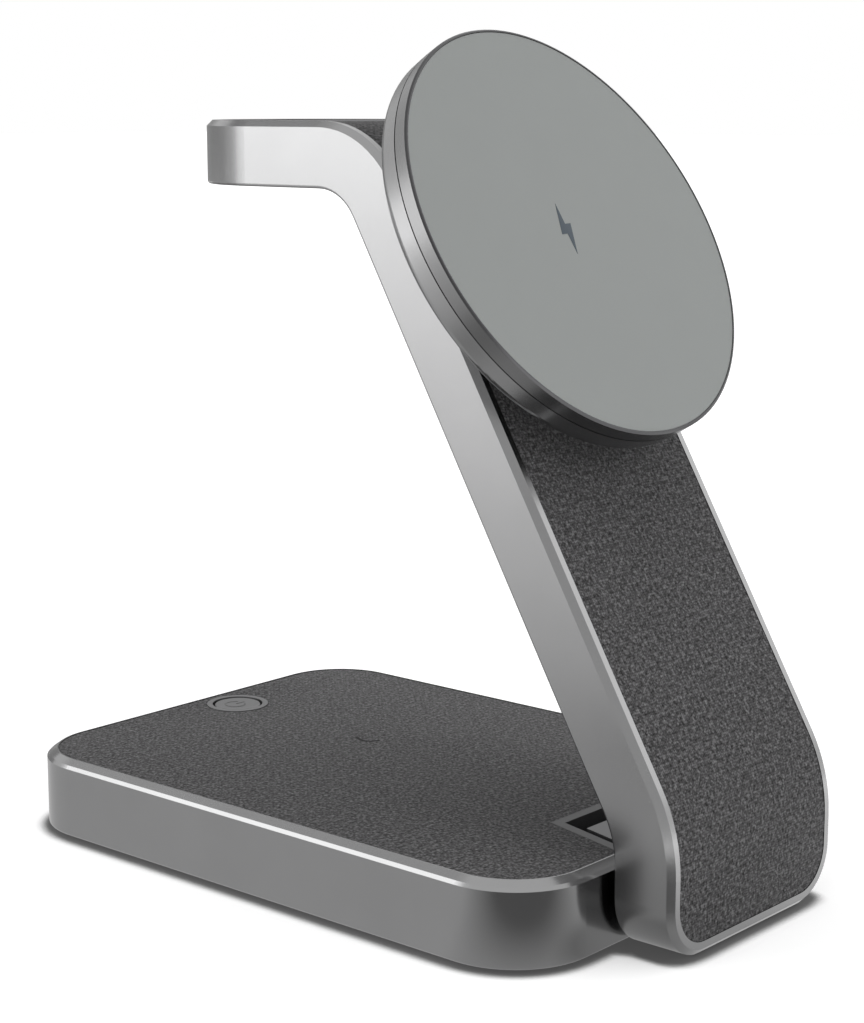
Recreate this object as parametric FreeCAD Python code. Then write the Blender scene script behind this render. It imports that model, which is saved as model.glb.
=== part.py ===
import FreeCAD, Part
import math
import os

V = FreeCAD.Vector

# Four-in-one wireless charger: a base pad for earbuds, a bent arm that folds back on a hinge in the base,
# a tilting magnetic disc for a phone and a watch platform at the arm's upper end.
# Millimetres. +X is right seen from the front, the front faces -Y, the table is z = 0.

# Base
base_width = 67.4
base_depth = 94.8
base_top = 11.45
base_floor = 0.5
base_corner = 11.4
base_wall = 2.6
rim_width = 1.6
rim_lip = 0.2
rim_rise = 0.68
rim_chamfer = 0.42
bottom_round = 0.4
fabric_thickness = 0.5
fabric_drop = 0.1
plate_thickness = 1.5
cover_thickness = 1.6
seat_clearance = 0.1

# Feet and screws
foot_radius = 3.8
foot_recess = 0.4
foot_inset = 6.2
boss_radius = 4.2
screw_radius = 1.0
screw_head_radius = 1.9
screw_head_height = 0.9
screw_length = 6.0
tip_clearance = 1.0
pan_head_radius = 1.8
pan_head_height = 1.1
slot_width = 0.5
slot_depth = 0.5
thread_clearance = 0.02

# Arm
arm_width = 36.4
arm_thickness = 8.65
arm_gap = 0.95
arm_lean = 30.2
knee_height = 17.0
knee_radius = 13.0
top_radius = 7.0
platform_top = 100.52
platform_reach = 89.2
foot_clearance = 0.2
foot_corner = 7.2
arm_chamfer = 0.8
arm_rear_round = 0.4
arm_rim = 1.75
arm_ledge = 1.2
arm_back_wall = 1.8

# Hinge between arm and base
hinge_setback = 5.55
hinge_drop = 3.25
shaft_radius = 1.3
shaft_end_wall = 1.0
shaft_fit = 0.02
running_fit = 0.05
sleeve_wall = 0.7
housing_half = 16.0
pocket_depth = 13.8
pocket_half = 8.75
pocket_flare = 0.26
housing_floor = 0.5
pocket_rim = 1.5
knuckle_side_gap = 0.9
knuckle_floor_gap = 0.85
knuckle_drop = 0.08
knuckle_screw_x = 6.5
knuckle_screw_drop = 3.0
knuckle_screw_bite = 3.0
sleeve_slit = 0.4

# Power button
button_x = 3.9
button_inset = 7.3
button_radius = 3.55
button_gap = 0.3
button_travel = 0.5
button_drop = 0.06
button_cap = 1.25
button_stem = 2.5
button_flange = 0.95
bezel_width = 0.85
bezel_step = 0.3
bezel_depth = 0.7
flange_gap = 0.05
switch_half = 2.6
switch_floor = 0.6
plunger_radius = 1.6
plunger_gap = 0.3
plunger_floor_gap = 0.2
switch_top_gap = 0.4

# Inlet and electronics
socket_x = -7.0
socket_width = 8.94
socket_height = 3.2
socket_shell = 0.3
socket_length = 7.4
socket_inset = 0.4
socket_back = 1.0
inlet_clearance = 0.3
tongue_half = 3.3
tongue_thickness = 0.7
tongue_setback = 0.9
board_thickness = 1.2
board_lift = 1.1
board_gap = 1.2
board_wall_gap = 0.5
board_front_gap = 6.9
board_screw_inset = 3.5
board_rear_inset = 8.9
post_radius = 2.5
coil_thickness = 0.9
ferrite_thickness = 0.8
earbud_inset = 35.3
earbud_coil_outer = 22.0
earbud_coil_inner = 10.0
ferrite_border = 1.0
ferrite_corner = 4.0

# Phone disc
disc_radius = 29.0
disc_thickness = 5.43
disc_taper = 0.15
disc_rear_round = 1.3
disc_standoff = 4.9
disc_drop = 18.54
seam_height = 3.3
seam_width = 0.18
seam_depth = 0.2
ring_width = 0.42
ring_chamfer = 0.2
face_thickness = 1.2
face_drop = 0.08
disc_back_wall = 1.2
disc_side_wall = 1.4
disc_board_thickness = 0.9
magnet_count = 16
magnet_clearance = 0.6
magnet_width = 4.0
magnet_gap_angle = 2.0
phone_coil_clearance = 1.5
phone_coil_inner = 10.5
phone_ferrite_thickness = 0.7
phone_ferrite_border = 0.5
disc_board_border = 0.8
disc_board_gap = 0.3

# Tilt pivot of the disc
pivot_radius = 1.0
bracket_gap = 0.35
lug_half = 4.0
lug_gap = 0.3
lug_floor = 1.2
cheek_width = 3.0
window_gap = 0.4
bracket_plate = 1.6
bracket_ears = 1.0
bracket_half_length = 8.0
bracket_screw_y = 5.4
bracket_screw_bite = 0.9

# Watch charger
puck_radius = 12.5
puck_flange = 1.0
puck_flange_thickness = 0.9
puck_dish = 0.4
puck_lip = 1.5
watch_coil_inner = 5.5
watch_magnet_radius = 4.5
watch_coil_border = 0.5
watch_magnet_gap = 0.2

# Positions that follow from the sizes
overall_depth = base_depth + arm_gap + arm_thickness
y_front = -overall_depth / 2
y_arm_back = y_front + arm_thickness
y_base = y_arm_back + arm_gap
y_back = overall_depth / 2
x_side = base_width / 2
fabric_top = base_top - fabric_drop
plate_top = fabric_top - fabric_thickness
plate_bottom = plate_top - plate_thickness
cover_top = base_floor + cover_thickness
board_bottom = cover_top + board_lift
board_top = board_bottom + board_thickness
y_hinge = y_base + hinge_setback
z_hinge = base_top - hinge_drop
pocket_floor = cover_top + housing_floor
knuckle_reach = z_hinge - pocket_floor - knuckle_floor_gap
shaft_reach = housing_half - shaft_end_wall
y_pocket = y_base + pocket_depth
y_housing = y_pocket + pocket_rim
corner_inset = foot_inset * math.sqrt(0.5) + base_corner * (1 - math.sqrt(0.5))
board_half = x_side - corner_inset - boss_radius - board_gap
board_front = y_housing + board_front_gap
board_back = y_back - base_wall - board_wall_gap
socket_mouth = y_back - socket_inset
earbud_y = y_back - earbud_inset
coil_bottom = plate_bottom - coil_thickness
button_y = y_back - button_inset
bezel_inner = button_radius + button_gap
bezel_outer = bezel_inner + bezel_width
bezel_tube = bezel_outer - bezel_step
button_top = base_top - button_drop
button_stop = plate_bottom - bezel_depth
plunger_top = button_stop - flange_gap - button_flange
switch_well = board_top + switch_floor
thread_top = base_floor + foot_recess + screw_length + tip_clearance
lean = math.radians(arm_lean)
arm_half = arm_width / 2
platform_end = y_front + platform_reach
puck_y = platform_end - arm_half
arm_fabric_depth = fabric_drop
arm_panel_depth = arm_fabric_depth + fabric_thickness
arm_recess = arm_panel_depth + plate_thickness
arm_floor = arm_thickness - arm_back_wall
pivot_out = disc_standoff / 2
lug_radius = pivot_out - bracket_gap
lug_clear = lug_half + lug_gap
cheek_outer = lug_clear + cheek_width
disc_height = platform_top - disc_drop
disc_seat = disc_back_wall + disc_board_thickness
face_bottom = disc_thickness - face_drop - face_thickness
disc_inner = disc_radius - disc_side_wall
magnet_outer = disc_inner - magnet_clearance
magnet_inner = magnet_outer - magnet_width
phone_coil_outer = magnet_inner - phone_coil_clearance
sleeve_inner = shaft_radius + running_fit
sleeve_outer = sleeve_inner + sleeve_wall
puck_seat = platform_top - arm_recess
watch_stack = puck_seat - puck_flange_thickness


def box(x0, x1, y0, y1, z0, z1):
    return Part.makeBox(x1 - x0, y1 - y0, z1 - z0, V(x0, y0, z0))


def rod(x, y, z0, z1, radius):
    """Upright cylinder."""
    return Part.makeCylinder(radius, z1 - z0, V(x, y, z0))


def cross_rod(x0, x1, y, z, radius):
    """Cylinder along X."""
    return Part.makeCylinder(radius, x1 - x0, V(x0, y, z), V(1, 0, 0))


def ring(x, y, z0, z1, outer, inner):
    return rod(x, y, z0, z1, outer).cut(rod(x, y, z0, z1, inner))


def prism(points, direction):
    wire = Part.makePolygon(points + points[:1])
    return Part.Face(wire).extrude(direction)


def turned(points):
    """Solid of revolution about Z from a closed (radius, height) outline."""
    corners = [V(r, 0, z) for r, z in points]
    face = Part.Face(Part.makePolygon(corners + corners[:1]))
    return face.revolve(V(0, 0, 0), V(0, 0, 1), 360)


def rounded_outline(x0, x1, y0, y1, radius, z):
    """Level wire in the shape of a rounded rectangle."""
    centres = [(x1 - radius, y0 + radius, -90), (x1 - radius, y1 - radius, 0),
               (x0 + radius, y1 - radius, 90), (x0 + radius, y0 + radius, 180)]
    arcs = []
    for cx, cy, start in centres:
        turns = [math.radians(start + step) for step in (0, 45, 90)]
        arcs.append([V(cx + radius * math.cos(a), cy + radius * math.sin(a), z) for a in turns])
    edges = []
    for i, arc in enumerate(arcs):
        edges.append(Part.Arc(*arc).toShape())
        nearest = arcs[(i + 1) % 4][0]
        if arc[2].distanceToPoint(nearest) > 1e-6:
            edges.append(Part.makeLine(arc[2], nearest))
    return Part.Wire(edges)


def rounded_slab(x0, x1, y0, y1, radius, z0, z1):
    """Upright prism whose plan is a rounded rectangle."""
    return Part.Face(rounded_outline(x0, x1, y0, y1, radius, z0)).extrude(V(0, 0, z1 - z0))


def base_outline(inset, z):
    """The base's plan drawn in by an inset."""
    return rounded_outline(-x_side + inset, x_side - inset, y_base + inset, y_back - inset,
                           base_corner - inset, z)


def base_slab(inset, z0, z1):
    return Part.Face(base_outline(inset, z0)).extrude(V(0, 0, z1 - z0))


def edges_at(shape, z):
    return [e for e in shape.Edges if all(abs(v.Z - z) < 1e-6 for v in e.Vertexes)]


def foot_spots():
    """Places of the feet, on the diagonals of the base's corners."""
    x = x_side - corner_inset
    return [(sx * x, y) for sx in (-1, 1) for y in (y_base + corner_inset, y_back - corner_inset)]


def housing_screw_spots():
    x = (housing_half + pocket_half + pocket_rim) / 2
    return [(-x, y_pocket - pocket_rim), (x, y_pocket - pocket_rim)]


def board_spots():
    x = board_half - board_screw_inset
    rows = (board_front + board_screw_inset, board_back - board_rear_inset)
    return [(sx * x, y) for sx in (-1, 1) for y in rows]


def pocket_prism(margin, y0, y1, z0, z1):
    """Flared plan of the hinge pocket, grown by a margin on its sides."""
    def half(y):
        return pocket_half + margin + pocket_flare * (y_pocket - y)
    points = [V(-half(y0), y0, z0), V(half(y0), y0, z0), V(half(y1), y1, z0), V(-half(y1), y1, z0)]
    return prism(points, V(0, 0, z1 - z0))


def base_frame():
    """Open metal frame with a small edge chamfer and a sloping rim that rises to the cloth."""
    shoulder = base_top - rim_rise
    body = base_slab(0, base_floor, shoulder)
    body = body.makeChamfer(rim_chamfer, edges_at(body, shoulder))
    body = body.makeFillet(bottom_round, edges_at(body, base_floor))
    slope = [base_outline(rim_chamfer, shoulder), base_outline(rim_width - rim_lip, base_top)]
    body = body.fuse(Part.makeLoft(slope, True, True))
    body = body.cut(base_slab(base_wall, base_floor, base_top))
    body = body.cut(base_slab(rim_width, plate_bottom, base_top))
    body = body.cut(base_slab(rim_width, base_floor, cover_top))
    inside = base_slab(base_wall / 2, cover_top, plate_bottom)
    for x, y in foot_spots():
        body = body.fuse(rod(x, y, cover_top, plate_bottom, boss_radius).common(inside))
    for x, y in foot_spots():
        body = body.cut(rod(x, y, cover_top, thread_top, screw_radius + thread_clearance))
    body = body.cut(pocket_prism(0, y_base - 1, y_pocket, pocket_floor, base_top + 1))
    return body.cut(inlet_oval(inlet_clearance, y_back - base_wall - 1, y_back + 1)).removeSplitter()


def inlet_oval(grow, y0, y1):
    """Prism along Y with the inlet's flattened oval section, grown all round."""
    half = socket_width / 2 + grow
    low = board_top - grow
    high = board_top + socket_height + grow
    body = rounded_slab(-half, half, low, high, (high - low) / 2 - 0.01, 0, y1 - y0)
    body.rotate(V(0, 0, 0), V(1, 0, 0), 90)
    body.translate(V(socket_x, y1, 0))
    return body


def base_top_plate():
    body = base_slab(rim_width + seat_clearance, plate_bottom, plate_top)
    gap = seat_clearance
    body = body.cut(box(-housing_half - gap, housing_half + gap, y_base, y_housing + gap,
                        plate_bottom, plate_top))
    return body.cut(rod(button_x, button_y, plate_bottom, plate_top, bezel_tube + gap))


def base_fabric():
    body = base_slab(rim_width + seat_clearance, plate_top, fabric_top)
    gap = seat_clearance
    body = body.cut(pocket_prism(pocket_rim + gap, y_base, y_housing + gap, plate_top, fabric_top))
    return body.cut(rod(button_x, button_y, plate_top, fabric_top, bezel_outer + gap))


def bottom_cover():
    body = base_slab(rim_width + seat_clearance, base_floor, cover_top)
    for x, y in board_spots():
        body = body.fuse(rod(x, y, cover_top, board_bottom, post_radius))
        body = body.cut(rod(x, y, cover_top, board_bottom, screw_radius + thread_clearance))
    for spots, radius in ((foot_spots(), foot_radius), (housing_screw_spots(), screw_head_radius)):
        for x, y in spots:
            recess = rod(x, y, base_floor, base_floor + foot_recess, radius + thread_clearance)
            body = body.cut(recess).cut(countersunk_screw(x, y, thread_clearance))
    return body


def countersunk_screw(x, y, grow):
    """Screw driven upward into a boss, its head flush with the floor of a foot's recess."""
    low = base_floor + foot_recess
    head = Part.makeCone(screw_head_radius + grow, screw_radius + grow, screw_head_height, V(x, y, low))
    shank = rod(x, y, low + screw_head_height, low + screw_length, screw_radius + grow)
    return head.fuse(shank)


def pan_screw(x, y, z, depth):
    """Pan-head screw driven downward, head resting at height z."""
    top = z + pan_head_height
    head = rod(x, y, z, top, pan_head_radius)
    slot = box(x - pan_head_radius, x + pan_head_radius, y - slot_width / 2, y + slot_width / 2,
               top - slot_depth, top)
    return head.cut(slot).fuse(rod(x, y, z - depth, z, screw_radius))


def cover_screws():
    spots = foot_spots() + housing_screw_spots()
    return Part.makeCompound([countersunk_screw(x, y, 0) for x, y in spots])


def rubber_feet():
    return Part.makeCompound([rod(x, y, 0, base_floor + foot_recess, foot_radius) for x, y in foot_spots()])


def hinge_housing():
    gap = seat_clearance
    back = y_housing
    block = box(-housing_half, housing_half, y_base + base_wall + gap, back, cover_top, plate_top)
    shelf = box(-housing_half, housing_half, y_base + rim_width + gap, back, plate_bottom, plate_top)
    rim = pocket_prism(pocket_rim, y_base + rim_width + gap, back, plate_bottom, fabric_top)
    body = block.fuse([shelf, rim])
    body = body.cut(pocket_prism(0, y_base, y_pocket, pocket_floor, base_top))
    bore = shaft_radius + shaft_fit
    body = body.cut(cross_rod(-shaft_reach, shaft_reach, y_hinge, z_hinge, bore))
    for x, y in housing_screw_spots():
        body = body.cut(rod(x, y, cover_top, thread_top, screw_radius + thread_clearance))
    return body.removeSplitter()


def hinge_shaft():
    shaft = cross_rod(-shaft_reach, shaft_reach, y_hinge, z_hinge, shaft_radius)
    ends = [e for e in shaft.Edges if abs(abs(e.CenterOfMass.x) - shaft_reach) < 1e-6]
    return shaft.makeChamfer(0.2, ends)


def hinge_knuckle():
    """Wedge carried by the arm: flat on top, round underneath about the hinge axis."""
    top = base_top - knuckle_drop
    margin = -knuckle_side_gap
    wedge = pocket_prism(margin, y_arm_back, y_hinge + knuckle_reach, 0, top)
    low = z_hinge - knuckle_reach
    reach = arm_half
    front = box(-reach, reach, y_arm_back, y_hinge, low, top)
    upper = box(-reach, reach, y_hinge, y_hinge + knuckle_reach, z_hinge, top)
    roll = cross_rod(-reach, reach, y_hinge, z_hinge, knuckle_reach)
    body = wedge.common(front.fuse([upper, roll]))
    body = body.cut(cross_rod(-reach, reach, y_hinge, z_hinge, sleeve_outer))
    for x in (-knuckle_screw_x, knuckle_screw_x):
        bite = knuckle_screw_bite + thread_clearance
        body = body.cut(back_rod(x, -bite, 0, screw_radius + thread_clearance))
    return body.removeSplitter()


def friction_sleeve():
    half = pocket_half - knuckle_side_gap
    sleeve = cross_rod(-half, half, y_hinge, z_hinge, sleeve_outer)
    sleeve = sleeve.cut(cross_rod(-half, half, y_hinge, z_hinge, sleeve_inner))
    slit = sleeve_slit / 2
    return sleeve.cut(box(-half, half, y_hinge - slit, y_hinge + slit, z_hinge - sleeve_outer, z_hinge))


def back_rod(x, front, back, radius):
    """Cylinder along Y at the knuckle screws; positions run forward from the arm's rear face."""
    z = z_hinge - knuckle_screw_drop
    return Part.makeCylinder(radius, back - front, V(x, y_arm_back - back, z), V(0, 1, 0))


def knuckle_screws():
    screws = []
    for x in (-knuckle_screw_x, knuckle_screw_x):
        head = back_rod(x, arm_back_wall, arm_back_wall + pan_head_height, pan_head_radius)
        shank = back_rod(x, -knuckle_screw_bite, arm_back_wall, screw_radius)
        screws.append(head.fuse(shank))
    return Part.makeCompound(screws)


def main_board():
    body = box(-board_half, board_half, board_front, board_back, board_bottom, board_top)
    for x, y in board_spots():
        body = body.cut(rod(x, y, board_bottom, board_top, screw_radius + thread_clearance))
    return body


def board_screws():
    depth = board_thickness + board_lift
    return Part.makeCompound([pan_screw(x, y, board_top, depth) for x, y in board_spots()])


def usb_c_socket():
    """Metal shell with a contact tongue, set just inside the base's rear wall."""
    rear = socket_mouth - socket_length
    hollow = inlet_oval(-socket_shell, rear + socket_back, socket_mouth)
    shell = inlet_oval(0, rear, socket_mouth).cut(hollow)
    low = board_top + (socket_height - tongue_thickness) / 2
    tongue = box(socket_x - tongue_half, socket_x + tongue_half, rear + socket_back / 2,
                 socket_mouth - tongue_setback, low, low + tongue_thickness)
    return shell.fuse(tongue)


def button_bezel():
    lip = ring(button_x, button_y, plate_top, base_top, bezel_outer, bezel_inner)
    tube = ring(button_x, button_y, button_stop, plate_top, bezel_tube, bezel_inner)
    return lip.fuse(tube).removeSplitter()


def power_button():
    cap_low = button_top - button_cap
    cap = rod(button_x, button_y, cap_low, button_top, button_radius)
    cap = cap.makeFillet(0.3, edges_at(cap, button_top))
    stem = rod(button_x, button_y, plunger_top, cap_low, button_stem)
    flange = rod(button_x, button_y, plunger_top, button_stop - flange_gap, bezel_tube)
    return cap.fuse([stem, flange]).removeSplitter()


def button_switch():
    high = plunger_top - button_travel - switch_top_gap
    half = switch_half
    body = box(button_x - half, button_x + half, button_y - half, button_y + half, board_top, high)
    return body.cut(rod(button_x, button_y, switch_well, high, plunger_radius + plunger_gap))


def switch_plunger():
    low = switch_well + button_travel + plunger_floor_gap
    return rod(button_x, button_y, low, plunger_top, plunger_radius)


def earbud_coil():
    return ring(0, earbud_y, coil_bottom, plate_bottom, earbud_coil_outer, earbud_coil_inner)


def earbud_ferrite():
    half = earbud_coil_outer + ferrite_border
    return rounded_slab(-half, half, earbud_y - half, earbud_y + half, ferrite_corner,
                        coil_bottom - ferrite_thickness, coil_bottom)


def arm_path(depth):
    """Edges of the arm's side outline at a depth below its front face, from foot to platform end."""
    knee_r = knee_radius + arm_thickness - depth
    top_r = top_radius + arm_thickness - depth
    knee = V(0, y_front + arm_thickness + knee_radius,
             knee_height - (knee_radius + arm_thickness) * math.tan(lean / 2))
    top_z = platform_top - top_radius - arm_thickness
    run = top_radius + arm_thickness + math.sin(lean) * (top_z - knee_height)
    top = V(0, y_front + run / math.cos(lean), top_z)

    def on(centre, radius, angle):
        return centre + V(0, -radius * math.cos(angle), radius * math.sin(angle))
    middle = (lean + math.pi / 2) / 2
    foot = V(0, y_front + depth, foot_clearance)
    end = V(0, platform_end, platform_top - depth)
    return [Part.makeLine(foot, on(knee, knee_r, 0)),
            Part.Arc(on(knee, knee_r, 0), on(knee, knee_r, lean / 2), on(knee, knee_r, lean)).toShape(),
            Part.makeLine(on(knee, knee_r, lean), on(top, top_r, lean)),
            Part.Arc(on(top, top_r, lean), on(top, top_r, middle), on(top, top_r, math.pi / 2)).toShape(),
            Part.makeLine(on(top, top_r, math.pi / 2), end)]


def arm_band(shallow, deep, inset):
    """Layer of the arm between two depths, drawn in from its outline by an inset."""
    outer = arm_path(shallow)
    inner = arm_path(deep)
    ends = [Part.makeLine(outer[-1].Vertexes[-1].Point, inner[-1].Vertexes[-1].Point),
            Part.makeLine(inner[0].Vertexes[0].Point, outer[0].Vertexes[0].Point)]
    wire = Part.Wire(Part.__sortEdges__(outer + inner + ends))
    half = arm_half - inset
    band = Part.Face(wire).extrude(V(2 * half, 0, 0))
    band.translate(V(-half, 0, 0))
    radius = foot_corner - inset
    low = foot_clearance + inset
    foot = rounded_slab(-half, half, low, platform_top + 50, radius, 0, 2 * overall_depth)
    foot.rotate(V(0, 0, 0), V(1, 0, 0), 90)
    foot.translate(V(0, overall_depth, 0))
    reach = platform_end - inset
    plan = rounded_slab(-half, half, y_front - 60, reach, half - 0.001, -10, platform_top + 10)
    return band.common(foot).common(plan)


def rounded_arm():
    """The whole arm with its front edges chamfered and its rear edges rounded."""
    body = arm_band(0, arm_thickness, 0)
    for depth in (arm_thickness, 0):
        skin = Part.Wire(arm_path(depth)).extrude(V(arm_width + 2, 0, 0))
        skin.translate(V(-arm_half - 1, 0, 0))
        outline = []
        for edge in body.Edges:
            middle = edge.valueAt((edge.FirstParameter + edge.LastParameter) / 2)
            across = abs(edge.BoundBox.XLength - arm_width) < 0.01 and edge.BoundBox.YLength < 0.01
            touching = all(Part.Vertex(p).distToShape(skin)[0] < 1e-4
                           for p in [v.Point for v in edge.Vertexes] + [middle])
            if touching and not across:
                outline.append(edge)
        if depth:
            body = body.makeFillet(arm_rear_round, outline)
        else:
            body = body.makeChamfer(arm_chamfer, outline)
    return body


def arm_frame():
    body = rounded_arm().cut(arm_band(-2, arm_recess, arm_rim))
    body = body.cut(arm_band(arm_recess, arm_floor, arm_rim + arm_ledge))
    for x in (-knuckle_screw_x, knuckle_screw_x):
        body = body.cut(back_rod(x, -1, arm_back_wall + 1, screw_radius + thread_clearance))
    return body.cut(on_arm(bracket_screw_holes())).removeSplitter()


def arm_panel():
    body = arm_band(arm_panel_depth, arm_recess, arm_rim + seat_clearance)
    return pierced(body)


def arm_fabric():
    body = arm_band(arm_fabric_depth, arm_panel_depth, arm_rim + seat_clearance)
    return pierced(body)


def pierced(layer):
    """Opens a layer of the arm for the watch puck and for the bracket of the disc."""
    half = cheek_outer + seat_clearance
    reach = lug_radius + window_gap
    window = on_arm(box(-half, half, -reach, reach, -arm_thickness, 1))
    puck = rod(0, puck_y, platform_top - arm_thickness, platform_top + 1, puck_radius + seat_clearance / 2)
    return layer.cut(window).cut(puck)


def on_arm(shape):
    """Places a shape drawn over the arm's front face at the disc: Y runs up the arm, Z out of it."""
    height = disc_height - knee_height
    origin = V(0, y_front + height * math.tan(lean), knee_height + height)
    up = V(0, math.sin(lean), math.cos(lean))
    out = V(0, -math.cos(lean), math.sin(lean))
    matrix = FreeCAD.Matrix(1, up.x, out.x, origin.x,
                            0, up.y, out.y, origin.y,
                            0, up.z, out.z, origin.z,
                            0, 0, 0, 1)
    placed = shape.copy()
    placed.Placement = FreeCAD.Placement(matrix).multiply(shape.Placement)
    return placed


def bracket_screw_spots():
    return [-bracket_screw_y, bracket_screw_y]


def bracket_screw_holes():
    depth = arm_floor + bracket_screw_bite + thread_clearance
    holes = [rod(0, y, -depth, -arm_floor, screw_radius + thread_clearance) for y in bracket_screw_spots()]
    return Part.makeCompound(holes)


def disc_bracket():
    """Plate on the floor of the arm with two cheeks that stand out in front for the pivot pin."""
    half = cheek_outer + bracket_ears
    length = bracket_half_length
    plate = box(-half, half, -length, length, -arm_floor, -arm_floor + bracket_plate)
    stem = box(-cheek_outer, cheek_outer, -lug_radius, lug_radius, -arm_floor, pivot_out)
    body = plate.fuse([stem, cross_rod(-cheek_outer, cheek_outer, 0, pivot_out, lug_radius)])
    body = body.cut(box(-lug_clear, lug_clear, -lug_radius, lug_radius, -lug_floor, pivot_out + lug_radius))
    body = body.cut(cross_rod(-cheek_outer, cheek_outer, 0, pivot_out, pivot_radius + shaft_fit))
    for y in bracket_screw_spots():
        body = body.cut(rod(0, y, -arm_floor, -arm_floor + bracket_plate, screw_radius + thread_clearance))
    return on_arm(body.removeSplitter())


def bracket_screws():
    seat = -arm_floor + bracket_plate
    screws = [pan_screw(0, y, seat, bracket_plate + bracket_screw_bite) for y in bracket_screw_spots()]
    return on_arm(Part.makeCompound(screws))


def disc_pivot_pin():
    pin = cross_rod(-cheek_outer, cheek_outer, 0, pivot_out, pivot_radius)
    ends = [e for e in pin.Edges if abs(abs(e.CenterOfMass.x) - cheek_outer) < 1e-6]
    return on_arm(pin.makeChamfer(0.15, ends))


def on_disc(shape):
    """Places a shape drawn with its back on z = 0 at the disc's back plane."""
    placed = shape.copy()
    placed.translate(V(0, 0, disc_standoff))
    return on_arm(placed)


def disc_rear_shell():
    """Shallow metal cup, slightly tapered to a rounded back edge, with the pivot lug behind it."""
    seat_inner = phone_coil_outer + disc_board_border + disc_board_gap
    rear_radius = disc_radius - disc_taper
    cup = turned([(0, 0), (rear_radius, 0), (disc_radius, seam_height), (disc_inner, seam_height),
                  (disc_inner, disc_seat), (seat_inner, disc_seat), (seat_inner, disc_back_wall),
                  (0, disc_back_wall)])
    back = [e for e in edges_at(cup, 0) if abs(e.BoundBox.XLength - 2 * rear_radius) < 0.01]
    cup = cup.makeFillet(disc_rear_round, back)
    axis = pivot_out - disc_standoff
    lug = box(-lug_half, lug_half, -lug_radius, lug_radius, axis, disc_back_wall / 2)
    lug = lug.fuse(cross_rod(-lug_half, lug_half, 0, axis, lug_radius))
    bore = cross_rod(-lug_half, lug_half, 0, axis, pivot_radius + running_fit)
    return on_disc(cup.fuse(lug).cut(bore).removeSplitter())


def disc_front_ring():
    """Ring round the face with a ledge under it, standing on a spigot that leaves the seam groove open."""
    inner = disc_radius - ring_width
    spigot = disc_radius - seam_depth
    low = seam_height + seam_width
    top = disc_thickness
    return on_disc(turned([(disc_inner, seam_height), (spigot, seam_height), (spigot, low),
                           (disc_radius, low), (disc_radius, top - ring_chamfer),
                           (disc_radius - ring_chamfer, top), (inner, top), (inner, face_bottom),
                           (disc_inner, face_bottom)]))


def disc_face():
    top = disc_thickness - face_drop
    return on_disc(rod(0, 0, top - face_thickness, top, disc_radius - ring_width - seat_clearance / 2))


def magnet_ring():
    """Ring of arc magnets with small gaps between them."""
    pitch = 360.0 / magnet_count
    sweep = pitch - magnet_gap_angle
    seat = V(0, 0, disc_seat)
    arcs = []
    for i in range(magnet_count):
        wedge = Part.makeCylinder(magnet_outer, face_bottom - disc_seat, seat, V(0, 0, 1), sweep)
        wedge.rotate(V(0, 0, 0), V(0, 0, 1), i * pitch)
        arcs.append(wedge.cut(rod(0, 0, disc_seat, face_bottom, magnet_inner)))
    return on_disc(Part.makeCompound(arcs))


def phone_coil():
    low = disc_seat + phone_ferrite_thickness
    return on_disc(ring(0, 0, low, face_bottom, phone_coil_outer, phone_coil_inner))


def phone_ferrite():
    radius = phone_coil_outer + phone_ferrite_border
    return on_disc(rod(0, 0, disc_seat, disc_seat + phone_ferrite_thickness, radius))


def disc_board():
    return on_disc(rod(0, 0, disc_back_wall, disc_seat, phone_coil_outer + disc_board_border))


def watch_puck():
    """Charging puck with a shallow dish, held under the panel by its flange."""
    top = platform_top - fabric_drop
    body = rod(0, puck_y, watch_stack, top, puck_radius)
    body = body.fuse(rod(0, puck_y, watch_stack, puck_seat, puck_radius + puck_flange))
    dish = (puck_radius - puck_lip) ** 2 / (2 * puck_dish) + puck_dish / 2
    ball = Part.makeSphere(dish, V(0, puck_y, top + dish - puck_dish))
    return body.cut(ball).removeSplitter()


def watch_coil():
    radius = puck_radius - watch_coil_border
    return ring(0, puck_y, watch_stack - coil_thickness, watch_stack, radius, watch_coil_inner)


def watch_magnet():
    low = watch_stack - coil_thickness - ferrite_thickness
    return rod(0, puck_y, low, watch_stack, watch_magnet_radius)


def watch_ferrite():
    top = watch_stack - coil_thickness
    inner = watch_magnet_radius + watch_magnet_gap
    return ring(0, puck_y, top - ferrite_thickness, top, puck_radius, inner)


PIECES = [base_frame, base_top_plate, base_fabric, bottom_cover, cover_screws, rubber_feet, hinge_housing,
          hinge_shaft, main_board, board_screws, usb_c_socket, button_switch, button_bezel, earbud_coil,
          earbud_ferrite, power_button, switch_plunger, arm_frame, arm_panel, arm_fabric, hinge_knuckle,
          friction_sleeve, knuckle_screws, disc_bracket, bracket_screws, disc_pivot_pin, watch_puck,
          watch_coil, watch_magnet, watch_ferrite, disc_rear_shell, disc_front_ring, disc_face,
          magnet_ring, phone_coil, phone_ferrite, disc_board]

os.makedirs("parts", exist_ok=True)
for piece in PIECES:
    piece().exportStep("parts/" + piece.__name__ + ".step")
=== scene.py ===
import math

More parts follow.
